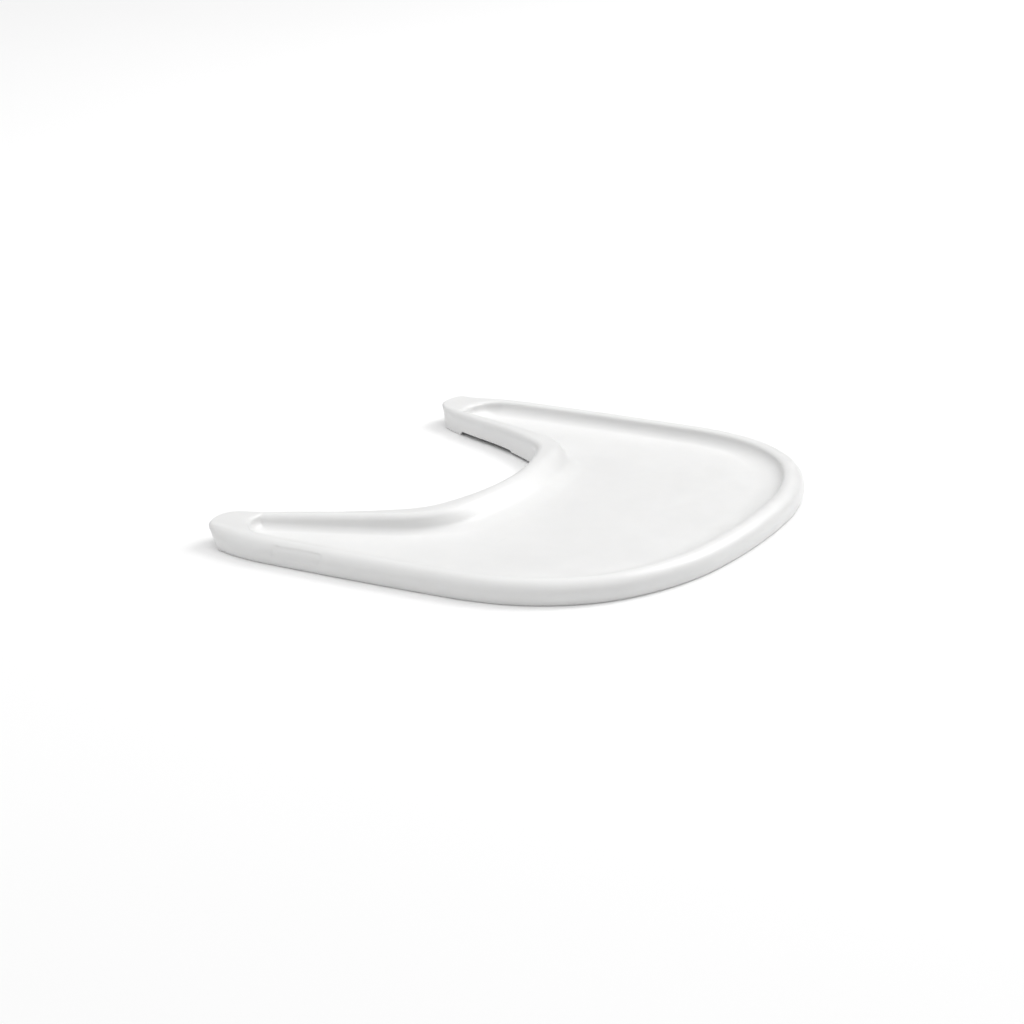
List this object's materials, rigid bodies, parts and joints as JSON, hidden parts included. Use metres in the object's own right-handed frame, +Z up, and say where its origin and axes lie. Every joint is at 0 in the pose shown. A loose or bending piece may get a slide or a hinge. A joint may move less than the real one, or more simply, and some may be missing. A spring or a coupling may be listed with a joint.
{
  "type": "high chair tray",
  "caption": "Clip-on feeding tray for a baby high chair, with a rimmed food recess, a belly cut-out and a sprung latch under each arm.",
  "frame": {"origin": "middle of the resting plane, under the middle of the tray's outline", "axes": "+X from the left arm to the right arm, +Y from the front edge towards the arm tips (the child's side), +Z up"},
  "size_m": [0.4682, 0.4016, 0.025],
  "materials": {
    "shell": "satin white polypropylene, fine moulded texture",
    "cover": "fine matt moulded texture",
    "screw": "zinc plated",
    "pin": "ground stainless",
    "spring": "drawn spring wire",
    "soft": "matt thermoplastic elastomer",
    "latch": "matt acetal"
  },
  "bodies": {
    "tray": {"tray_shell": "shell", "left_arm_cover": "cover", "right_arm_cover": "cover", "cover_screws": "screw", "left_pivot_pin": "pin", "right_pivot_pin": "pin", "left_latch_spring": "spring", "right_latch_spring": "spring", "left_rail_strip": "soft", "right_rail_strip": "soft", "front_rail_strip": "soft", "left_tip_foot": "soft", "right_tip_foot": "soft"},
    "left_latch": {"left_latch_lever": "latch"},
    "right_latch": {"right_latch_lever": "latch"}
  },
  "joints": [
    {"name": "left_latch_swing", "type": "hinge", "parent": "tray", "child": "left_latch", "pos_m": [-0.14893, 0.06864, 0.0045], "axis": [0, 0, 1], "range_deg": [0, 11], "stiffness_Nm_per_rad": 0.4, "deforming": ["left_latch_spring"]},
    {"name": "right_latch_swing", "type": "hinge", "parent": "tray", "child": "right_latch", "pos_m": [0.14893, 0.06864, 0.0045], "axis": [0, 0, -1], "range_deg": [0, 11], "stiffness_Nm_per_rad": 0.4, "deforming": ["right_latch_spring"]}
  ]
}
